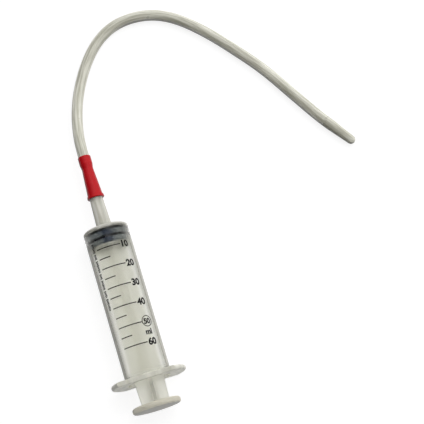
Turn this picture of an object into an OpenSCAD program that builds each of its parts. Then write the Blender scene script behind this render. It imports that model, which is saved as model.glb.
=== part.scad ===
// Catheter tip syringe of 60 ml, lying on a table, with a funnel connector and a feeding tube.
// The barrel's axis runs along +Y and its nozzle points to +Y. The table is z = 0.
// The origin is the middle of the edge on which the finger flange rests.

/* [Barrel] */
// Outer diameter of the barrel
barrel_od = 32; // [26:0.1:33]
// Thickness of the barrel's wall
barrel_wall = 1.05; // [0.8:0.05:1.6]
// Length from the middle of the finger flange to the shoulder
barrel_len = 110.1; // [90:0.1:140]
// Thickness of the end wall behind the shoulder
end_wall = 2.2; // [1.5:0.1:4]
// Rise of the shoulder's cone from its rim to the nozzle
shoulder_rise = 2.2; // [0:0.1:5]
// Radius of the shoulder's rounded rim
shoulder_round = 1.8; // [0.5:0.1:3]
// Distance from the finger flange's middle to the bead that keeps the stopper in
bead_y = 4; // [2:0.5:10]
// Height of that bead above the bore
bead_height = 0.3; // [0.1:0.05:0.5]
// Width of that bead
bead_width = 2; // [1:0.1:4]

/* [Nozzle] */
// Diameter of the nozzle at the shoulder
nozzle_base_d = 10.8; // [9.5:0.1:13]
// Diameter of the nozzle at its tip
nozzle_tip_d = 8.5; // [7.5:0.1:9.5]
// Length of the nozzle in front of the shoulder
nozzle_len = 32; // [24:0.5:45]
// Diameter of the channel through the nozzle
channel_d = 4; // [2:0.1:5]

/* [Finger flange] */
// Length of the flange over both wings
flange_span = 52.8; // [40:0.1:70]
// Width of the flange across its two flats
flange_flat = 34; // [33:0.5:38]
// Thickness of the flange
flange_t = 3.3; // [1.8:0.1:4]
// Radius of the flange's rounded rim
flange_round = 1.4; // [0.3:0.1:1.6]

/* [Plunger rod] */
// Diameter of the thumb disc
thumb_d = 34; // [26:0.5:38]
// Thickness of the thumb disc
thumb_t = 4.2; // [2:0.1:5]
// Gap between the flange and the thumb disc with the plunger pushed home
thumb_gap = 15.6; // [5:0.1:40]
// Width over two opposite ribs of the rod
rib_span = 21.3; // [12:0.1:25]
// Width over two opposite ribs where they meet the thumb disc
rib_foot_span = 19.6; // [10:0.1:25]
// Length over which the ribs widen from the thumb disc
rib_foot_len = 18; // [5:1:40]
// Thickness of a rib
rib_t = 1.8; // [1:0.1:3]
// Turn of the cross of ribs from level
rib_turn = 20; // [0:0.5:45]
// Thickness of the disc behind the stopper
guide_t = 1.6; // [1:0.1:3]
// Diameter of the head that holds the stopper
head_d = 13; // [11:0.1:18]
// Length of that head
head_len = 3.5; // [2:0.1:4.5]
// Diameter of the neck behind the head
neck_d = 9; // [6:0.1:10]

/* [Stopper] */
// Length of the stopper from its rear edge to its front edge
stopper_len = 10.7; // [10:0.1:16]
// Depth of the stopper's body below the tops of its ribs
stopper_groove = 0.5; // [0.2:0.05:1.4]
// Distance from the stopper's front edge to the middle of its rear rib
rear_rib_back = 6.1; // [4:0.1:8]
// Width of a sealing rib
seal_w = 1.8; // [1:0.1:2.5]
// Height of the stopper's cone in front of its front edge
nose_rise = 2; // [0:0.1:4]
// Thickness of the lip behind the head
lip_t = 2.8; // [2:0.1:4]

/* [Connector] */
// Length of the nozzle that stays in view behind the connector
nozzle_shown = 21.2; // [10:0.1:25]
// Diameter of the flared lip
lip_d = 12.4; // [12:0.1:16]
// Length of the flared lip
lip_len = 2.4; // [1:0.1:5]
// Diameter of the cone in front of the lip
cone_d = 11; // [10.6:0.1:14]
// Diameter of the waist
waist_d = 8.2; // [7:0.1:9]
// Distance from the lip to the waist
waist_from_lip = 23; // [18:0.5:40]
// Diameter of the collar that holds the tube
collar_d = 9.4; // [9:0.1:12]
// Length over which the waist widens to the collar
collar_rise_len = 3.5; // [1:0.5:6]
// Length of the connector
connector_len = 32.5; // [31:0.5:50]
// Depth of the tube's socket in the collar
socket_len = 7; // [4:0.5:8]

/* [Feeding tube] */
// Outer diameter of the tube
tube_od = 8; // [5:0.1:8.3]
// Diameter of the tube's channel
tube_channel_d = 4.8; // [2.5:0.1:5.5]
// Length of the closed tip
tip_len = 26; // [18:1:40]
// Length of the tip before it starts to taper
tip_straight_len = 5; // [1:1:12]
// Diameter of the tip where its rounded end starts
tip_end_d = 6.4; // [4:0.1:8]
// Length of the side eye
eye_len = 6; // [3:0.5:10]
// Width of the side eye
eye_w = 2.8; // [1:0.1:4]
// Distance from the tube's end to the middle of the side eye
eye_from_tube = 7; // [6:0.5:12]

/* [Fits] */
// Gap all round between the stopper's ribs and the bore
seal_gap = 0.05; // [0.02:0.01:0.1]
// Gap all round between the disc behind the stopper and the bore
guide_gap = 0.95; // [0.7:0.05:4.9]
// Gap between the rod's head and its socket, and between the rod's disc and the stopper
head_gap = 0.1; // [0.05:0.01:0.2]
// Gap between the nozzle and the connector's cone
cone_gap = 0.05; // [0.02:0.01:0.1]
// Gap all round between the tube and its socket
socket_gap = 0.05; // [0.02:0.01:0.1]
// Gap between the stopper and the barrel's end with the plunger pushed home
home_gap = 0.4; // [0.3:0.1:1]

/* [Hidden] */
$fn = 96;

// Radii and heights that follow from the sizes above
barrel_r = barrel_od / 2;
bore_r = barrel_r - barrel_wall;
guide_r = bore_r - guide_gap;
axis_h = max(flange_flat, thumb_d, barrel_od) / 2;
edge_round = 0.4;
flange_fillet = 0.5;
nozzle_fillet = 0.8;
mouth_chamfer = 0.4;

// Places along the barrel's axis
rear_y = -flange_t / 2;
bore_end_y = barrel_len - end_wall;
nozzle_base_y = barrel_len + shoulder_rise;
nozzle_end_y = nozzle_base_y + nozzle_len;
stopper_front_y = bore_end_y - home_gap;
stopper_rear_y = stopper_front_y - stopper_len;
head_rear_y = stopper_rear_y + lip_t + head_gap;
guide_front_y = stopper_rear_y - head_gap;
thumb_front_y = rear_y - thumb_gap;
thumb_rear_y = thumb_front_y - thumb_t;
lip_y = nozzle_base_y + nozzle_shown;
connector_end_y = lip_y + connector_len;
socket_floor_y = connector_end_y - socket_len;

// Middle line of the tube from the floor of its socket to the tip: across, ahead, and from the axis down
tube_route = [
    [0, 0, 0],
    [0, 16, -0.5],
    [1.5, 32, -4],
    [5.5, 50.5, -9.5],
    [12.5, 68, -12.8],
    [21.5, 82.5, -13],
    [33.5, 95.5, -13],
    [48, 103.5, -13],
    [64.5, 105.5, -13],
    [81, 102, -13],
    [95.5, 93.5, -13],
    [108, 82, -13],
    [119.5, 69, -13],
    [130, 55.5, -13],
    [140, 42, -13],
    [149, 28, -13],
    [157.5, 13, -13],
    [165.5, -1, -13],
    [175.5, -17.5, -13],
];
// Direction of the tip from +X towards +Y, and how far its eye faces up from level
tip_heading = -56;
eye_up = -15;
tube_sides = 12;

// Diameter of the nozzle's cone at a place along the axis
function nozzle_d(y) =
    nozzle_base_d + (nozzle_tip_d - nozzle_base_d) * (y - nozzle_base_y) / nozzle_len;

// Points of an arc about a centre, from one angle to another
function arc(centre, r, from, to, steps = 8) = [
    for (i = [0 : steps])
        let (a = from + (to - from) * i / steps)
        centre + r * [cos(a), sin(a)]
];

// Points of a rounded bump on a cylinder, going along the axis
function bump(r, middle, width, height, steps = 10) = [
    for (i = [0 : steps])
        let (a = 180 - 180 * i / steps)
        [r + height * sin(a), middle + width / 2 * cos(a)]
];

// Turns an outline of [radius, place along the axis] into a solid about the barrel's axis
module about_axis(outline) {
    translate([0, 0, axis_h])
        rotate([-90, 0, 0])
            rotate_extrude()
                polygon(outline);
}

// Finger flange: a round plate with rounded rims, cut by two flats, with a fillet at the barrel
module finger_flange() {
    flange_r = flange_span / 2;
    half = flange_t / 2;
    rim_round = min(flange_round, half * 0.9);
    inside = barrel_r - barrel_wall / 2;
    intersection() {
        about_axis(concat(
            [[inside, -half]],
            arc([flange_r - rim_round, -half + rim_round], rim_round, -90, 0),
            arc([flange_r - rim_round, half - rim_round], rim_round, 0, 90),
            arc([barrel_r + flange_fillet, half + flange_fillet], flange_fillet, 270, 180),
            [[inside, half + flange_fillet]]
        ));
        translate([-flange_r, 0, axis_h])
            rotate([90, 0, 90])
                linear_extrude(flange_span)
                    polygon(concat(
                        arc([half - edge_round, flange_flat / 2 - edge_round], edge_round, 0, 90),
                        [[-half + edge_round, flange_flat / 2]],
                        [[-half, flange_flat / 2 - edge_round]],
                        [[-half, -flange_flat / 2 + edge_round]],
                        [[-half + edge_round, -flange_flat / 2]],
                        arc([half - edge_round, -flange_flat / 2 + edge_round], edge_round, -90, 0),
                        [[half + flange_fillet, -flange_flat / 2 + edge_round]],
                        [[half + flange_fillet, flange_flat / 2 - edge_round]]
                    ));
    }
}

// Barrel: the tube with its shoulder, nozzle and retaining bead, and the finger flange, in one piece
module barrel() {
    color("gainsboro", 0.6) {
        about_axis(concat(
            [[bore_r + mouth_chamfer, rear_y], [barrel_r, rear_y]],
            arc([barrel_r - shoulder_round, barrel_len - shoulder_round], shoulder_round, 0, 90),
            arc([nozzle_base_d / 2 + nozzle_fillet, nozzle_base_y + nozzle_fillet],
                nozzle_fillet, 270, 180, 4),
            arc([nozzle_tip_d / 2 - edge_round, nozzle_end_y - edge_round], edge_round, 0, 90, 4),
            [
                [channel_d / 2, nozzle_end_y],
                [channel_d / 2, bore_end_y + shoulder_rise],
                [bore_r, bore_end_y],
                [bore_r, bead_y + bead_width / 2],
                [bore_r - bead_height, bead_y + bead_width / 4],
                [bore_r - bead_height, bead_y - bead_width / 4],
                [bore_r, bead_y - bead_width / 2],
                [bore_r, rear_y + mouth_chamfer],
            ]
        ));
        finger_flange();
    }
}

// One pair of opposite ribs of the rod, as a flat plate turned about the axis
module rib_pair(turn) {
    foot = rib_foot_span / 2;
    half = rib_span / 2;
    widest_y = thumb_front_y + rib_foot_len;
    translate([0, 0, axis_h])
        rotate([0, turn, 0])
            linear_extrude(rib_t, center = true)
                polygon([
                    [-foot, thumb_front_y - thumb_t / 2],
                    [foot, thumb_front_y - thumb_t / 2],
                    [foot, thumb_front_y],
                    [half, widest_y],
                    [half, guide_front_y - guide_t / 2],
                    [-half, guide_front_y - guide_t / 2],
                    [-half, widest_y],
                    [-foot, thumb_front_y],
                ]);
}

// Plunger rod: thumb disc, four ribs, the disc behind the stopper, and the head that holds it
module plunger_rod() {
    thumb_r = thumb_d / 2;
    rim_round = thumb_t * 0.4;
    head_chamfer = head_len * 0.4;
    color("whitesmoke", 0.7) {
        about_axis(concat(
            [[0, thumb_rear_y]],
            arc([thumb_r - rim_round, thumb_rear_y + rim_round], rim_round, -90, 0),
            arc([thumb_r - rim_round, thumb_front_y - rim_round], rim_round, 0, 90),
            [[0, thumb_front_y]]
        ));
        rib_pair(rib_turn);
        rib_pair(rib_turn + 90);
        about_axis([
            [0, guide_front_y - guide_t],
            [guide_r, guide_front_y - guide_t],
            [guide_r, guide_front_y],
            [neck_d / 2, guide_front_y],
            [neck_d / 2, head_rear_y],
            [head_d / 2, head_rear_y],
            [head_d / 2, head_rear_y + head_len - head_chamfer],
            [head_d / 2 - head_chamfer, head_rear_y + head_len],
            [0, head_rear_y + head_len],
        ]);
    }
}

// Stopper: rubber piston with two sealing ribs, a shallow cone in front and a socket for the head
module stopper() {
    body_r = bore_r - seal_gap - stopper_groove;
    neck_hole_r = neck_d / 2 + head_gap;
    socket_r = head_d / 2 + head_gap;
    socket_rear_y = stopper_rear_y + lip_t;
    socket_front_y = socket_rear_y + head_len + 2 * head_gap;
    rear_chamfer = 0.5;
    color("darkslategray")
        about_axis(concat(
            [
                [neck_hole_r, stopper_rear_y],
                [body_r - rear_chamfer, stopper_rear_y],
                [body_r, stopper_rear_y + rear_chamfer],
            ],
            bump(body_r, stopper_front_y - rear_rib_back, seal_w, stopper_groove),
            bump(body_r, stopper_front_y - seal_w / 2, seal_w, stopper_groove),
            [
                [0, stopper_front_y + nose_rise],
                [0, socket_front_y],
                [socket_r, socket_front_y],
                [socket_r, socket_rear_y],
                [neck_hole_r, socket_rear_y],
            ]
        ));
}

// Funnel connector: a soft cone with a flared lip on the nozzle and a collar on the tube
module funnel_connector() {
    tube_r = tube_od / 2;
    socket_r = tube_r + socket_gap;
    collar_r = collar_d / 2;
    waist_y = lip_y + waist_from_lip;
    collar_round = min(collar_r - socket_r, 1);
    lip_round = (lip_d - cone_d) / 2;
    lip_flare = lip_round / 3;
    seat_front_y = nozzle_end_y + home_gap;
    color("crimson")
        about_axis(concat(
            [[nozzle_d(lip_y) / 2 + cone_gap, lip_y]],
            arc([lip_d / 2 - lip_round, lip_y + lip_round], lip_round, -90, 0, 5),
            [
                [lip_d / 2 - lip_flare, lip_y + lip_len - lip_flare],
                [cone_d / 2, lip_y + lip_len],
                [waist_d / 2, waist_y],
                [collar_r, waist_y + collar_rise_len],
            ],
            arc([collar_r - collar_round, connector_end_y - collar_round], collar_round,
                0, 90, 5),
            [
                [socket_r, connector_end_y],
                [socket_r, socket_floor_y],
                [tube_channel_d / 2, socket_floor_y],
                [tube_channel_d / 2, seat_front_y + tube_channel_d / 2],
                [nozzle_tip_d / 2 + cone_gap, seat_front_y],
                [nozzle_tip_d / 2 + cone_gap, nozzle_end_y],
            ]
        ));
}

// Place in the model of a point of the tube's route, never lower than where the tube lies
function on_route(p) = [p[0], socket_floor_y + p[1], max(axis_h + p[2], tube_od / 2)];

// Direction of the tube at a point of its route: out of the socket, between two neighbours, or into the tip
function route_direction(points, i) =
    i == 0 ? [0, 1, 0]
    : i == len(points) - 1 ? [cos(tip_heading), sin(tip_heading), 0]
    : let (d = points[i + 1] - points[i - 1]) d / norm(d);

// Ring of points about a place, square to a direction
function ring(place, direction, r, sides) =
    let (side = cross(direction, [0, 0, 1]), across = side / norm(side), up = cross(across, direction))
    [for (k = [0 : sides - 1]) place + r * (cos(360 * k / sides) * across + sin(360 * k / sides) * up)];

// Round tube swept along a route
module swept_tube(points, r, sides) {
    last = len(points) - 1;
    rings = [for (i = [0 : last]) each ring(points[i], route_direction(points, i), r, sides)];
    walls = [
        for (i = [0 : last - 1])
            for (k = [0 : sides - 1])
                let (n = (k + 1) % sides, a = i * sides, b = a + sides)
                each [[a + k, a + n, b + n], [a + k, b + n, b + k]]
    ];
    start = [for (k = [sides - 1 : -1 : 0]) k];
    end = [for (k = [0 : sides - 1]) last * sides + k];
    polyhedron(rings, concat([start], walls, [end]));
}

// Feeding tube from the connector's socket to the tip
module feeding_tube() {
    color("beige", 0.7)
        swept_tube([for (p = tube_route) on_route(p)], tube_od / 2, tube_sides);
}

// Flat slot with round ends, lying along X
module slot(length, width) {
    between = length - width;
    square([between, width], center = true);
    for (end = [-1, 1])
        translate([end * between / 2, 0])
            circle(d = width);
}

// Tip of the tube: a closed, rounded end with a side eye into its channel
module tube_tip() {
    tube_r = tube_od / 2;
    end_r = tip_end_d / 2;
    channel_len = tip_len - end_r - (tube_od - tube_channel_d) / 2;
    color("beige", 0.7)
        translate(on_route(tube_route[len(tube_route) - 1]))
            rotate([0, 90, tip_heading])
                difference() {
                    rotate_extrude()
                        polygon(concat(
                            [[tube_channel_d / 2, 0], [tube_r, 0], [tube_r, tip_straight_len]],
                            arc([0, tip_len - end_r], end_r, 0, 90, 10),
                            [[0, channel_len], [tube_channel_d / 2, channel_len - tube_channel_d / 2]]
                        ));
                    rotate([0, 0, 90 + eye_up])
                        translate([0, 0, eye_from_tube])
                            rotate([0, 90, 0])
                                linear_extrude(tube_od)
                                    slot(eye_len, eye_w);
                }
}

barrel();
plunger_rod();
stopper();
funnel_connector();
feeding_tube();
tube_tip();
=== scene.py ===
"""Looks of a catheter tip syringe with its funnel connector and feeding tube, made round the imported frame.

Lengths are in metres. The barrel's axis runs along +Y at AXIS_H above the table, and the table is z = 0.
Angles round the barrel start at its crest, from +Z towards +X.
"""
import math

import bmesh
import bpy
import numpy as np
from mathutils import Matrix, Vector


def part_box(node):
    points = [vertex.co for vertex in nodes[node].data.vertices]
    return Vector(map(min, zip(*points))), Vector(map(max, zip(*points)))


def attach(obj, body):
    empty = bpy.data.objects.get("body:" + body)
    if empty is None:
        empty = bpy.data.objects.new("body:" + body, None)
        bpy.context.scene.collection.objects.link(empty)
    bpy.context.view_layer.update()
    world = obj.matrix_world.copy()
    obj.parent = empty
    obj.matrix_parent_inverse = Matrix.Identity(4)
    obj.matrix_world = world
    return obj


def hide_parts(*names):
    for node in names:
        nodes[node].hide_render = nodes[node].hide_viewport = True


MM = 0.001

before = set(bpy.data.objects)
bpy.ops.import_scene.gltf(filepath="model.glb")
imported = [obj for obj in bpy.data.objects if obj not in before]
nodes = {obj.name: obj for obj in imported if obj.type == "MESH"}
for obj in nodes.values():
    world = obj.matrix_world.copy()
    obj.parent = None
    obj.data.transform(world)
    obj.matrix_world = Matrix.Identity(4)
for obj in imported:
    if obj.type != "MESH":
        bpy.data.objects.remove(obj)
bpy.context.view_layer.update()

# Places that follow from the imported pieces
stopper_low, stopper_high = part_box("stopper")
AXIS_H = (stopper_low.z + stopper_high.z) / 2
BARREL_R = 16 * MM
CONNECTOR_END_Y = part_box("funnel_connector")[1].y
SOCKET_LEN = 7 * MM
SOCKET_FLOOR_Y = CONNECTOR_END_Y - SOCKET_LEN


# Camera, placed as the photograph's: where it stands, what it looks at and how it is turned
CAMERA_PLACE = Vector((57.3, -93.95, 775.7)) * MM
CAMERA_TILT = math.radians(14.304)
CAMERA_AZIMUTH = math.radians(-5.5)
CAMERA_ROLL = math.radians(-17.739)
CAMERA_LENS = 94.026
SENSOR = 36.0


def add_camera():
    """The scene's camera, with its three axes worked out from tilt, azimuth and roll."""
    back = Vector(
        (
            math.sin(CAMERA_AZIMUTH) * math.sin(CAMERA_TILT),
            -math.cos(CAMERA_AZIMUTH) * math.sin(CAMERA_TILT),
            math.cos(CAMERA_TILT),
        )
    )
    level = Vector((0, 1, 0)).cross(back).normalized()
    upright = back.cross(level)
    right = level * math.cos(CAMERA_ROLL) + upright * math.sin(CAMERA_ROLL)
    up = upright * math.cos(CAMERA_ROLL) - level * math.sin(CAMERA_ROLL)
    turned = Matrix((right, up, back)).transposed().to_4x4()
    data = bpy.data.cameras.new("photo_camera")
    data.lens = CAMERA_LENS
    data.sensor_width = SENSOR
    camera = bpy.data.objects.new("photo_camera", data)
    camera.matrix_world = Matrix.Translation(CAMERA_PLACE) @ turned
    bpy.context.scene.collection.objects.link(camera)
    bpy.context.scene.camera = camera


# Shader trees
class Value:
    """One output of a shader tree. Python's operators on it add the tree's Math nodes."""

    def __init__(self, surface, socket):
        self.surface = surface
        self.socket = socket

    def math(self, operation, *values):
        settings = {"operation": operation}
        return self.surface.add("ShaderNodeMath", settings, dict(enumerate(values)))

    def __add__(self, other):
        return self.math("ADD", self, other)

    def __radd__(self, other):
        return self.math("ADD", other, self)

    def __sub__(self, other):
        return self.math("SUBTRACT", self, other)

    def __rsub__(self, other):
        return self.math("SUBTRACT", other, self)

    def __mul__(self, other):
        return self.math("MULTIPLY", self, other)

    def __rmul__(self, other):
        return self.math("MULTIPLY", other, self)

    def __truediv__(self, other):
        return self.math("DIVIDE", self, other)

    def __pow__(self, other):
        return self.math("POWER", self, other)

    def between(self, low, high):
        """0 below low, 1 above high, and a smooth step from one to the other."""
        inputs = {"Value": self, "From Min": low, "From Max": high}
        return self.surface.add("ShaderNodeMapRange", {"interpolation_type": "SMOOTHSTEP"}, inputs)


class Surface:
    """A material or world with its own shader tree."""

    def __init__(self, owner):
        owner.use_nodes = True
        self.owner = owner
        self.tree = owner.node_tree
        self.tree.nodes.clear()

    def add(self, kind, settings=None, inputs=None, output=0):
        """Adds a node with its settings and with the values or links of its sockets. Gives one output."""
        node = self.tree.nodes.new(kind)
        for name, value in (settings or {}).items():
            setattr(node, name, value)
        for name, value in (inputs or {}).items():
            if isinstance(value, Value):
                self.tree.links.new(value.socket, node.inputs[name])
            else:
                node.inputs[name].default_value = value
        return Value(self, node.outputs[output])

    def principled(self, inputs):
        return self.add("ShaderNodeBsdfPrincipled", inputs=inputs)

    def blend(self, factor, a, b):
        """Mix of two shaders."""
        return self.add("ShaderNodeMixShader", inputs={0: factor, 1: a, 2: b})

    def mix(self, factor, a, b):
        """Mix of two colours."""
        return self.add("ShaderNodeMix", {"data_type": "RGBA"}, {0: factor, 6: a, 7: b}, output=2)

    def place(self):
        """Where a point of the piece is in the frame, at rest."""
        return self.add("ShaderNodeTexCoord", output="Object")

    def axis(self, which):
        return self.add("ShaderNodeSeparateXYZ", inputs={"Vector": self.place()}, output=which)

    def from_barrel_axis(self):
        across = self.axis(0)
        above = self.axis(2) - AXIS_H
        return (across * across + above * above) ** 0.5

    def noise(self, scale, detail, stretch=(1, 1, 1)):
        """Noise over the piece. Scale is in waves per metre, and stretch divides it along each axis."""
        inputs = {0: self.place(), 1: stretch}
        vector = self.add("ShaderNodeVectorMath", {"operation": "MULTIPLY"}, inputs)
        return self.add("ShaderNodeTexNoise", inputs={"Vector": vector, "Scale": scale, "Detail": detail})

    def bump(self, height, distance, strength):
        inputs = {"Height": height, "Distance": distance, "Strength": strength}
        return self.add("ShaderNodeBump", inputs=inputs)

    def facing(self):
        """0 where the surface faces the eye and 1 at its outline."""
        return self.add("ShaderNodeLayerWeight", inputs={"Blend": 0.5}, output="Facing")

    def along(self, vector, direction):
        """How far a vector points in a direction."""
        inputs = {0: vector, 1: direction}
        return self.add("ShaderNodeVectorMath", {"operation": "DOT_PRODUCT"}, inputs, output=1)

    def shaded_flank(self):
        """How much shade is painted on a point of the upright flank away from the key light, by the piece's
        own shape.
        """
        normal = self.add("ShaderNodeTexCoord", output="Normal")
        upward = self.add("ShaderNodeSeparateXYZ", inputs={"Vector": normal}, output=2)
        upright = 1 - (upward * upward) ** 0.5
        away = self.along(normal, SHADE_SIDE)
        return SHADE_SHARE * upright.between(0.35, 0.75) * away.between(0.2, 0.5)

    def end(self, shader, kind="ShaderNodeOutputMaterial"):
        node = self.tree.nodes.new(kind)
        self.tree.links.new(shader.socket, node.inputs["Surface"])
        return self.owner


def new_surface(name):
    return Surface(bpy.data.materials.new(name))


def gray(level):
    return (level, level, level, 1)


# Painted shade on the flank away from the key light: pale plastics' shade colour, greatest share, that side
FLANK_SHADE = (0.15, 0.145, 0.125, 1)
SHADE_SHARE = 0.8
SHADE_SIDE = (-0.8, -0.6, 0)

# Stretches along the barrel over which its plastic changes, and the depth of its smooth outer skin
FLANGE_TO_WALL = (2 * MM, 3 * MM)
WALL_TO_SHOULDER = (106.5 * MM, 109 * MM)
SHOULDER_TO_NOZZLE = (109 * MM, 112 * MM)
OUTER_SKIN = (BARREL_R - 0.7 * MM, BARREL_R - 0.4 * MM)
# The wall is clearer from the first of these to the second, where the pushed home stopper wets it
WETTED_FROM = (98 * MM, 101 * MM)
WETTED_TO = (110 * MM, 112 * MM)

BARREL_CLEAR = ((0.95, 0.95, 0.92, 1), (0.99, 0.99, 0.97, 1))
BARREL_THICK = ((0.68, 0.67, 0.59, 1), (0.9, 0.89, 0.81, 1))
BARREL_WALL = (0.46, 0.455, 0.4, 1)
NOZZLE_STREAK = (0.56, 0.55, 0.47, 1)


def barrel_plastic():
    """Clear plastic that is satin inside the bore and smooth outside, and milky where it is thick."""
    s = new_surface("barrel_polypropylene")
    grain = s.noise(1400, 3)
    flow = s.noise(260, 2, stretch=(1, 0.12, 1))
    streaks = s.noise(520, 2, stretch=(1, 0.04, 1)).between(0.35, 0.65)
    y = s.axis(1)
    past_flange = y.between(*FLANGE_TO_WALL)
    thin = past_flange - y.between(*WALL_TO_SHOULDER)
    on_nozzle = y.between(*SHOULDER_TO_NOZZLE)
    wetted = y.between(*WETTED_FROM) - y.between(*WETTED_TO)
    outside = s.from_barrel_axis().between(*OUTER_SKIN) * thin
    clear = s.principled(
        {
            "Base Color": s.mix(flow, *BARREL_CLEAR),
            "Roughness": 0.42 - 0.3 * outside + 0.08 * grain,
            "IOR": 1.2,
            "Transmission Weight": 1.0,
            "Normal": s.bump(grain, 0.02 * MM, 0.4),
        }
    )
    thick = s.mix(streaks * on_nozzle, s.mix(flow.between(0.3, 0.7), *BARREL_THICK), NOZZLE_STREAK)
    even = s.mix(thin, thick, BARREL_WALL)
    milky = s.principled(
        {
            # Painted shade on the barrel's flank away from the key light, past the flange
            "Base Color": s.mix(s.shaded_flank() * past_flange, even, FLANK_SHADE),
            "Roughness": 0.3 + 0.15 * grain,
            "Specular IOR Level": 0.3,
            "Normal": s.bump(grain, 0.03 * MM, 0.5),
        }
    )
    veil = 0.5 - 0.5 * thin + (0.85 - 0.6 * wetted) * s.facing().between(0.2, 0.85)
    return s.end(s.blend(veil, clear, milky))


# Stretches along the rod over which its disc ends and over which it goes into the barrel, at rest
DISC_TO_RIBS = (-18 * MM, -17 * MM)
RIBS_TO_BARREL = (-5 * MM, -1 * MM)

ROD_EVEN = ((0.84, 0.83, 0.75, 1), (0.93, 0.92, 0.85, 1))
# The thumb disc's warmer tone, darkened over the whole disc by painted shade
ROD_DISC_TONE_AND_SHADE = (0.76, 0.71, 0.58, 1)
ROD_CLEAR = (0.97, 0.97, 0.94, 1)
ROD_THROUGH = (0.9, 0.9, 0.84, 1)


def rod_plastic():
    """Milky moulded plastic that lets light through, with the slow streaks of its moulding."""
    s = new_surface("rod_polypropylene")
    grain = s.noise(1100, 3)
    flow = s.noise(180, 2, stretch=(1, 0.1, 1))
    outline = s.facing() ** 3
    normal = s.bump(grain, 0.03 * MM, 0.5)
    y = s.axis(1)
    on_disc = 1 - y.between(*DISC_TO_RIBS)
    bare = 1 - y.between(*RIBS_TO_BARREL)
    clear = s.principled(
        {
            "Base Color": ROD_CLEAR,
            "Roughness": 0.4 + 0.1 * grain,
            "IOR": 1.4,
            "Transmission Weight": 1.0,
            "Normal": normal,
        }
    )
    # The disc gets its warmer tone together with painted shade
    even = s.mix(on_disc, s.mix(flow, *ROD_EVEN), ROD_DISC_TONE_AND_SHADE)
    solid = s.principled(
        {
            # Painted shade on the rod's flank away from the key light, where the rod is bare
            "Base Color": s.mix(s.shaded_flank() * bare, even, FLANK_SHADE),
            "Roughness": 0.32 + 0.15 * grain,
            "Normal": normal,
        }
    )
    through = s.add("ShaderNodeBsdfTranslucent", inputs={"Color": ROD_THROUGH, "Normal": normal})
    body = s.blend(0.7 - 0.5 * outline - 0.3 * on_disc, solid, through)
    return s.end(s.blend(0.5 + 0.48 * outline + 0.2 * on_disc, clear, body))


# Distances from the barrel's axis over which the stopper's rubber comes to press on the bore
RIB_PRESSED = (14.5 * MM, 14.75 * MM)
# The rubber is bluest here; a painted reflection greys it by this much for each metre to either side
BLUEST_X = 1 * MM
REFLECTION_GREYING_PER_METRE = 33
RUBBER_DULL_AND_REFLECTED = ((0.016, 0.026, 0.046, 1), (0.15, 0.165, 0.165, 1))
RUBBER_WET = (0.0008, 0.001, 0.0015, 1)


def stopper_rubber():
    """Dark rubber, wet black where its ribs press on the bore and bluer and duller between them, greyer to
    the sides with painted reflection.
    """
    s = new_surface("stopper_rubber")
    grain = s.noise(1600, 3)
    cloud = s.noise(150, 2)
    pressed = s.from_barrel_axis().between(*RIB_PRESSED)
    aside = s.axis(0) - BLUEST_X
    # Random patches plus a painted reflection that greys the rubber away from BLUEST_X
    patches_and_reflection = 0.6 * cloud + REFLECTION_GREYING_PER_METRE * (aside * aside) ** 0.5
    dull_and_reflected = s.mix(patches_and_reflection.between(0.35, 0.6), *RUBBER_DULL_AND_REFLECTED)
    shader = s.principled(
        {
            "Base Color": s.mix(pressed, dull_and_reflected, RUBBER_WET),
            "Roughness": 0.5 + 0.2 * grain - 0.25 * pressed,
            "Specular IOR Level": 0.05,
            "Normal": s.bump(grain, 0.03 * MM, 0.4),
        }
    )
    return s.end(shader)


RED_EVEN = ((0.44, 0.004, 0.008, 1), (0.58, 0.008, 0.014, 1))
# Painted shade for the red vinyl's flank away from the key light
RED_SHADE = (0.2, 0.003, 0.006, 1)


def connector_vinyl():
    """Glossy soft red vinyl with a slightly uneven skin, and scuffed places that are duller."""
    s = new_surface("connector_vinyl")
    grain = s.noise(900, 3)
    cloud = s.noise(120, 3)
    shader = s.principled(
        {
            # Painted shade on the connector's flank away from the key light
            "Base Color": s.mix(s.shaded_flank(), s.mix(cloud, *RED_EVEN), RED_SHADE),
            "Roughness": 0.24 + 0.2 * cloud.between(0.45, 0.7),
            "Specular IOR Level": 0.22,
            "Normal": s.bump(grain, 0.04 * MM, 0.5),
        }
    )
    return s.end(shader)


TUBE_EVEN = ((0.52, 0.51, 0.41, 1), (0.86, 0.85, 0.74, 1))
TUBE_CLEAR = (0.93, 0.93, 0.86, 1)


def vinyl(name, strand):
    """Soft grey-olive vinyl, cloudy, with fine streaks along the tube.

    Strand gives where a point is round and along the tube."""
    s = new_surface(name)
    streaks = s.add("ShaderNodeTexNoise", inputs={"Vector": strand(s), "Scale": 3.0, "Detail": 3.0})
    cloud = s.noise(90, 2)
    bump = s.bump(streaks, 0.08 * MM, 0.6)
    clear = s.principled(
        {
            "Base Color": TUBE_CLEAR,
            "Roughness": 0.25 + 0.1 * cloud,
            "IOR": 1.4,
            "Transmission Weight": 1.0,
            "Normal": bump,
        }
    )
    even = s.mix(streaks.between(0.35, 0.65), *TUBE_EVEN)
    milky = s.principled(
        {
            # Painted shade on the tube's flank away from the key light
            "Base Color": s.mix(s.shaded_flank(), even, FLANK_SHADE),
            "Roughness": 0.26 + 0.14 * cloud,
            "Normal": bump,
        }
    )
    return s.end(s.blend(0.8 + 0.2 * s.facing().between(0.2, 0.6), clear, milky))


INK = ((0.004, 0.004, 0.005, 1), (0.014, 0.014, 0.016, 1))


def printing_ink():
    """Black printing ink, slightly uneven, as it comes off a pad."""
    s = new_surface("printing_ink")
    worn = s.noise(1800, 3)
    shader = s.principled(
        {
            "Base Color": s.mix(worn, *INK),
            "Roughness": 0.4 + 0.25 * worn,
            "Specular IOR Level": 0.2,
            "Normal": s.bump(worn, 0.01 * MM, 0.5),
        }
    )
    return s.end(shader)


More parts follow.
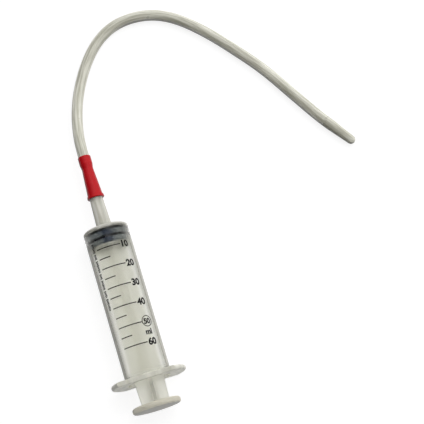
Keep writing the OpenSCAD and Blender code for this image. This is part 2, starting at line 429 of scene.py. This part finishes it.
def give(obj, material):
    obj.data.materials.clear()
    obj.data.materials.append(material)


# Meshes
def new_piece(name, mesh, material, body):
    """Links a mesh as a piece of the object that rides on a body."""
    piece = bpy.data.objects.new(name, mesh)
    bpy.context.scene.collection.objects.link(piece)
    give(piece, material)
    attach(piece, body)
    return piece


def mesh_of(name, points, faces, smooth=True):
    mesh = bpy.data.meshes.new(name)
    mesh.from_pydata(points, [], faces)
    mesh.polygons.foreach_set("use_smooth", [smooth] * len(faces))
    mesh.update()
    return mesh


# Feeding tube
TUBE_R = 4 * MM
TUBE_CHANNEL_R = 2.4 * MM
TUBE_SIDES = 40
TUBE_STEP = 1.5 * MM
TIP_HEADING = math.radians(-56)
# Waves of the tube's streaks for each metre along it
STRAND_PACE = 14
# The tube's middle line from the floor of its socket to its tip, from that floor's middle, in mm
TUBE_ROUTE = (
    (0, 0, 0),
    (0, 16, -0.5),
    (1.5, 32, -4),
    (5.5, 50.5, -9.5),
    (12.5, 68, -12.8),
    (21.5, 82.5, -13),
    (33.5, 95.5, -13),
    (48, 103.5, -13),
    (64.5, 105.5, -13),
    (81, 102, -13),
    (95.5, 93.5, -13),
    (108, 82, -13),
    (119.5, 69, -13),
    (130, 55.5, -13),
    (140, 42, -13),
    (149, 28, -13),
    (157.5, 13, -13),
    (165.5, -1, -13),
    (175.5, -17.5, -13),
)


def smooth_route(points, first, last, step):
    """Points a step apart on the curve through the given ones, with a given direction at each end.

    The curve's slopes solve the cubic spline's equations, with the slope at each end known."""
    places = np.array([list(p) for p in points])
    spans = np.linalg.norm(np.diff(places, axis=0), axis=1)
    count = len(places)
    matrix = np.eye(count)
    right = np.zeros((count, 3))
    right[0] = np.array(first)
    right[-1] = np.array(last)
    for i in range(1, count - 1):
        before, after = spans[i - 1], spans[i]
        matrix[i, i - 1 : i + 2] = (1 / before, 2 / before + 2 / after, 1 / after)
        rise_in = (places[i] - places[i - 1]) / before**2
        rise_out = (places[i + 1] - places[i]) / after**2
        right[i] = 3 * (rise_in + rise_out)
    slopes = np.linalg.solve(matrix, right)
    found = []
    for i, span in enumerate(spans):
        parts = max(2, round(span / step))
        for k in range(parts):
            t = k / parts
            found.append(
                (2 * t**3 - 3 * t**2 + 1) * places[i]
                + (t**3 - 2 * t**2 + t) * span * slopes[i]
                + (3 * t**2 - 2 * t**3) * places[i + 1]
                + (t**3 - t**2) * span * slopes[i + 1]
            )
    found.append(places[-1])
    return [Vector(p) for p in found]


def rings_along(path, first, last, radius, sides):
    """Rings of points square to a path, one for each of its points."""
    rings = []
    for i, place in enumerate(path):
        if i == 0:
            ahead = first
        elif i == len(path) - 1:
            ahead = last
        else:
            ahead = (path[i + 1] - path[i - 1]).normalized()
        across = ahead.cross(Vector((0, 0, 1))).normalized()
        up = across.cross(ahead)
        for k in range(sides):
            turn = 2 * math.pi * k / sides
            rings.append(place + radius * (math.cos(turn) * across + math.sin(turn) * up))
    return rings


def skin(first, rings, sides, inward=False):
    """Quads between rings of points that follow each other, from the point numbered first."""
    faces = []
    for i in range(rings - 1):
        for k in range(sides):
            n = (k + 1) % sides
            a = first + i * sides
            b = a + sides
            quad = (a + k, a + n, b + n, b + k)
            faces.append(quad[::-1] if inward else quad)
    return faces


def add_strand(mesh, path):
    """Gives each point of the tube its place round and along it, for streaks that follow the tube.

    The points of the tube's outside come first and those of its channel after them."""
    strand = []
    for _ in ("outside", "channel"):
        gone = 0
        for i in range(len(path)):
            if i:
                gone += (path[i] - path[i - 1]).length
            for k in range(TUBE_SIDES):
                turn = 2 * math.pi * k / TUBE_SIDES
                strand += (math.cos(turn), math.sin(turn), gone * STRAND_PACE)
    mesh.attributes.new("strand", "FLOAT_VECTOR", "POINT").data.foreach_set("vector", strand)


def along_tube(s):
    return s.add("ShaderNodeAttribute", {"attribute_name": "strand"}, output="Vector")


def along_tip(s):
    """The same as along_tube for the straight tip, which heads in a known direction."""
    x = s.axis(0)
    y = s.axis(1)
    flat = x * math.sin(TIP_HEADING) - y * math.cos(TIP_HEADING)
    forth = x * math.cos(TIP_HEADING) + y * math.sin(TIP_HEADING)
    inputs = {"X": flat / TUBE_R, "Y": s.axis(2) / TUBE_R, "Z": forth * STRAND_PACE}
    return s.add("ShaderNodeCombineXYZ", inputs=inputs)


def add_feeding_tube(material):
    """The hollow tube, from the floor of its socket in the connector to its closed tip."""
    start = Vector((0, SOCKET_FLOOR_Y, AXIS_H))
    out = Vector((0, 1, 0))
    into_tip = Vector((math.cos(TIP_HEADING), math.sin(TIP_HEADING), 0))
    path = smooth_route([start + Vector(p) * MM for p in TUBE_ROUTE], out, into_tip, TUBE_STEP)
    for place in path:
        place.z = max(place.z, TUBE_R)
    count = len(path)
    outer = rings_along(path, out, into_tip, TUBE_R, TUBE_SIDES)
    inner = rings_along(path, out, into_tip, TUBE_CHANNEL_R, TUBE_SIDES)
    faces = skin(0, count, TUBE_SIDES) + skin(len(outer), count, TUBE_SIDES, inward=True)
    for ring in (0, count - 1):
        a = ring * TUBE_SIDES
        b = len(outer) + a
        for k in range(TUBE_SIDES):
            n = (k + 1) % TUBE_SIDES
            quad = (a + k, b + k, b + n, a + n)
            faces.append(quad if ring == 0 else quad[::-1])
    mesh = mesh_of("soft_feeding_tube", outer + inner, faces)
    add_strand(mesh, path)
    tube = new_piece("soft_feeding_tube", mesh, material, "connector")
    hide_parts("feeding_tube")


# Printing on the barrel. The ink lies this far off the wall, and is this thick
INK_LIFT = 0.02 * MM
INK_THICK = 0.03 * MM
# The scale in millilitres: its last line, its steps from line to line and from number to number, and
# the number that has a circle. The pitch is from number to number
SCALE_END = 60
LINE_STEP = 5
NUMBER_STEP = 10
CIRCLED = 50
ZERO_Y = 107.54 * MM
PITCH = 14.242 * MM
# The print runs a little askew round the barrel, by this much for each metre towards the nozzle
SKEW = math.radians(50)
SKEW_MIDDLE_Y = 57.5 * MM
LINE_LEFT = math.radians(-33.5)
LINE_RIGHT = math.radians(29)
SHORT_RIGHT = math.radians(-3.4)
LINE_WIDTH = 0.7 * MM
NUMBER_TURN = math.radians(42.9)
NUMBER_SIZE = 6.4 * MM
CIRCLED_SIZE = 5.2 * MM
RING_R = 3.7 * MM
RING_WIDTH = 0.6 * MM
RING_PARTS = 64
UNIT_TURN = math.radians(40.4)
UNIT_Y = 29 * MM
UNIT_SIZE = 5.2 * MM
# How much bolder than the plain typeface, for each metre of its size
BOLDER = 0.045
FINE_TURN = math.radians(-44.5)
FINE_TOP_Y = 98.8 * MM
FINE_TALL = 1.8 * MM
FINE_WIDE = 0.7 * MM
FINE_PACE = 0.95 * MM
# Strokes in each group, from the nozzle's end, and how much taller the first of every three is
FINE_GROUPS = (7, 4, 9, 4, 7, 5, 9)
FINE_TALLER = 1.3
# Longest straight pieces that the bent print is made of, round the barrel
BEND_TURN = math.radians(3)
BEND_STEP = 0.6 * MM


def on_barrel(turn, y, lift):
    r = BARREL_R + lift
    askew = turn + SKEW * (y - SKEW_MIDDLE_Y)
    return Vector((r * math.sin(askew), y, AXIS_H + r * math.cos(askew)))


def bent_box(turn_a, turn_b, y_a, y_b, points, faces):
    """Adds a thin closed patch of ink that lies on the barrel."""
    parts = max(1, round(abs(turn_b - turn_a) / BEND_TURN))
    first = len(points)
    for k in range(parts + 1):
        turn = turn_a + (turn_b - turn_a) * k / parts
        for y, lift in ((y_a, 0), (y_b, 0), (y_b, INK_THICK), (y_a, INK_THICK)):
            points.append(on_barrel(turn, y, INK_LIFT + lift))
    for k in range(parts):
        a = first + 4 * k
        for side in range(4):
            n = (side + 1) % 4
            faces.append((a + side, a + n, a + 4 + n, a + 4 + side))
    faces.append((first + 3, first + 2, first + 1, first))
    last = first + 4 * parts
    faces.append((last, last + 1, last + 2, last + 3))


def new_print(name, points, faces, ink):
    mesh = mesh_of(name, points, faces, smooth=False)
    new_piece(name, mesh, ink, "barrel")


def scale_y(millilitres):
    return ZERO_Y - PITCH * millilitres / NUMBER_STEP


def add_scale_lines(ink):
    points, faces = [], []
    for millilitres in range(LINE_STEP, SCALE_END + 1, LINE_STEP):
        y = scale_y(millilitres)
        right = LINE_RIGHT if millilitres % NUMBER_STEP == 0 else SHORT_RIGHT
        bent_box(LINE_LEFT, right, y - LINE_WIDTH / 2, y + LINE_WIDTH / 2, points, faces)
    new_print("scale_lines", points, faces, ink)


def add_words(name, words, turn, y, size, ink):
    """Puts words on the barrel with their middle at a place, upright when the nozzle points up."""
    curve = bpy.data.curves.new(name, "FONT")
    curve.body = words
    curve.size = size
    curve.align_x = "CENTER"
    curve.align_y = "CENTER"
    curve.bevel_depth = BOLDER * size
    curve.bevel_resolution = 0
    curve.extrude = INK_THICK / 2
    text = bpy.data.objects.new(name, curve)
    bpy.context.scene.collection.objects.link(text)
    bpy.context.view_layer.update()
    mesh = bpy.data.meshes.new_from_object(text.evaluated_get(bpy.context.evaluated_depsgraph_get()))
    bpy.data.objects.remove(text)
    work = bmesh.new()
    work.from_mesh(mesh)
    low = min(v.co.x for v in work.verts)
    high = max(v.co.x for v in work.verts)
    bottom = min(v.co.y for v in work.verts)
    top = max(v.co.y for v in work.verts)
    x = low + BEND_STEP
    while x < high:
        geometry = work.verts[:] + work.edges[:] + work.faces[:]
        bmesh.ops.bisect_plane(work, geom=geometry, plane_co=(x, 0, 0), plane_no=(1, 0, 0))
        x += BEND_STEP
    for v in work.verts:
        across = v.co.x - (low + high) / 2
        along = v.co.y - (bottom + top) / 2
        lift = min(max(v.co.z, -INK_THICK / 2), INK_THICK / 2)
        v.co = on_barrel(turn + across / BARREL_R, y + along, INK_LIFT + INK_THICK / 2 + lift)
    work.to_mesh(mesh)
    work.free()
    new_piece(name, mesh, ink, "barrel")


def add_ring(name, turn, y, ink):
    """Adds a printed circle that lies on the barrel."""
    points, faces = [], []
    for k in range(RING_PARTS):
        a = 2 * math.pi * k / RING_PARTS
        for reach, lift in ((-1, 0), (1, 0), (1, INK_THICK), (-1, INK_THICK)):
            r = RING_R + reach * RING_WIDTH / 2
            aside = turn + r * math.cos(a) / BARREL_R
            points.append(on_barrel(aside, y + r * math.sin(a), INK_LIFT + lift))
    for k in range(RING_PARTS):
        a = 4 * k
        b = 4 * ((k + 1) % RING_PARTS)
        for side in range(4):
            n = (side + 1) % 4
            faces.append((a + side, a + n, b + n, b + side))
    new_print(name, points, faces, ink)


def add_fine_print(ink):
    """Adds a column of short plain strokes, in groups as long as words, along the barrel."""
    points, faces = [], []
    y = FINE_TOP_Y
    for strokes in FINE_GROUPS:
        for k in range(strokes):
            tall = FINE_TALL * (1 if k % 3 else FINE_TALLER)
            half = tall / 2 / BARREL_R
            bent_box(FINE_TURN - half, FINE_TURN + half, y - FINE_WIDE, y, points, faces)
            y -= FINE_PACE
        y -= FINE_PACE
    new_print("fine_print", points, faces, ink)


def add_printing(ink):
    add_scale_lines(ink)
    for number in range(NUMBER_STEP, SCALE_END + 1, NUMBER_STEP):
        size = CIRCLED_SIZE if number == CIRCLED else NUMBER_SIZE
        add_words(f"number_{number}", str(number), NUMBER_TURN, scale_y(number), size, ink)
    add_ring(f"number_{CIRCLED}_circle", NUMBER_TURN, scale_y(CIRCLED), ink)
    add_words("unit_ml", "ml", UNIT_TURN, UNIT_Y, UNIT_SIZE, ink)
    add_fine_print(ink)


# Floor: how it glows and how it is lit where it is seen, and its tone where it only sends light on
FLOOR_GLOW = 0.85
FLOOR_SEEN_TONE = 0.25
FLOOR_TONE = 0.5
FLOOR_HALF = 3.0
FLOOR_DROP = 0.03 * MM
# Light of the sky: its level away from its bright side, how much it gains, which side that is, and how
# far round the gain begins and ends
SKY_LEVEL = 0.04
SKY_GAIN = 1.15
SKY_SIDE = (0.76, 0.57, 0.33)
SKY_RISE = (-0.25, 0.8)
# Key light: which way it stands from what it is aimed at, how far off, how wide and how strong
KEY_DIRECTION = Vector((0.4, 0.3, 1.1))
KEY_TARGET = Vector((0.06, 0.11, 0))
KEY_DISTANCE = 1.5
KEY_SIZE = 1.0
KEY_POWER = 6


def ray(s, kind):
    return s.add("ShaderNodeLightPath", output=f"Is {kind} Ray")


def add_stage():
    """A floor that looks white, also through clear plastic and in gloss, and that lights as gray."""
    s = new_surface("studio_floor")
    seen = (ray(s, "Camera") + ray(s, "Glossy") + ray(s, "Transmission")).between(0, 0.5)
    pale = s.add("ShaderNodeBsdfDiffuse", inputs={"Color": gray(FLOOR_TONE)})
    glow = s.add("ShaderNodeEmission", inputs={"Color": gray(1), "Strength": FLOOR_GLOW})
    soft = s.add("ShaderNodeBsdfDiffuse", inputs={"Color": gray(FLOOR_SEEN_TONE)})
    white = s.add("ShaderNodeAddShader", inputs={0: glow, 1: soft})
    s.end(s.blend(seen, pale, white))
    corners = [(x * FLOOR_HALF, y * FLOOR_HALF, 0) for x, y in ((-1, -1), (1, -1), (1, 1), (-1, 1))]
    mesh = mesh_of("studio_floor", corners, [(0, 1, 2, 3)], smooth=False)
    floor = bpy.data.objects.new("studio_floor", mesh)
    floor.location.z = -FLOOR_DROP
    bpy.context.scene.collection.objects.link(floor)
    give(floor, s.owner)


def add_world():
    """A sky that lights from one side, and is white to the eye and through clear plastic."""
    world = bpy.data.worlds.new("studio")
    bpy.context.scene.world = world
    s = Surface(world)
    towards = s.add("ShaderNodeTexCoord", output="Generated")
    level = SKY_LEVEL + SKY_GAIN * s.along(towards, SKY_SIDE).between(*SKY_RISE)
    seen = (ray(s, "Camera") + ray(s, "Transmission")).between(0, 0.5)
    light = s.add("ShaderNodeBackground", inputs={"Color": gray(1), "Strength": level})
    white = s.add("ShaderNodeBackground", inputs={"Color": gray(1), "Strength": 1.0})
    s.end(s.blend(seen, light, white), "ShaderNodeOutputWorld")


def add_key_light():
    data = bpy.data.lights.new("key", "AREA")
    data.size = KEY_SIZE
    data.energy = KEY_POWER
    lamp = bpy.data.objects.new("key", data)
    towards = KEY_DIRECTION.normalized()
    lamp.location = KEY_TARGET + towards * KEY_DISTANCE
    lamp.rotation_mode = "QUATERNION"
    lamp.rotation_quaternion = towards.to_track_quat("Z", "Y")
    lamp.visible_glossy = False
    bpy.context.scene.collection.objects.link(lamp)


def main():
    add_camera()
    give(nodes["barrel"], barrel_plastic())
    give(nodes["plunger_rod"], rod_plastic())
    give(nodes["stopper"], stopper_rubber())
    give(nodes["funnel_connector"], connector_vinyl())
    give(nodes["tube_tip"], vinyl("tip_vinyl", along_tip))
    add_feeding_tube(vinyl("tube_vinyl", along_tube))
    add_printing(printing_ink())
    add_stage()
    add_world()
    add_key_light()
    bpy.context.scene.view_settings.view_transform = "Standard"


main()
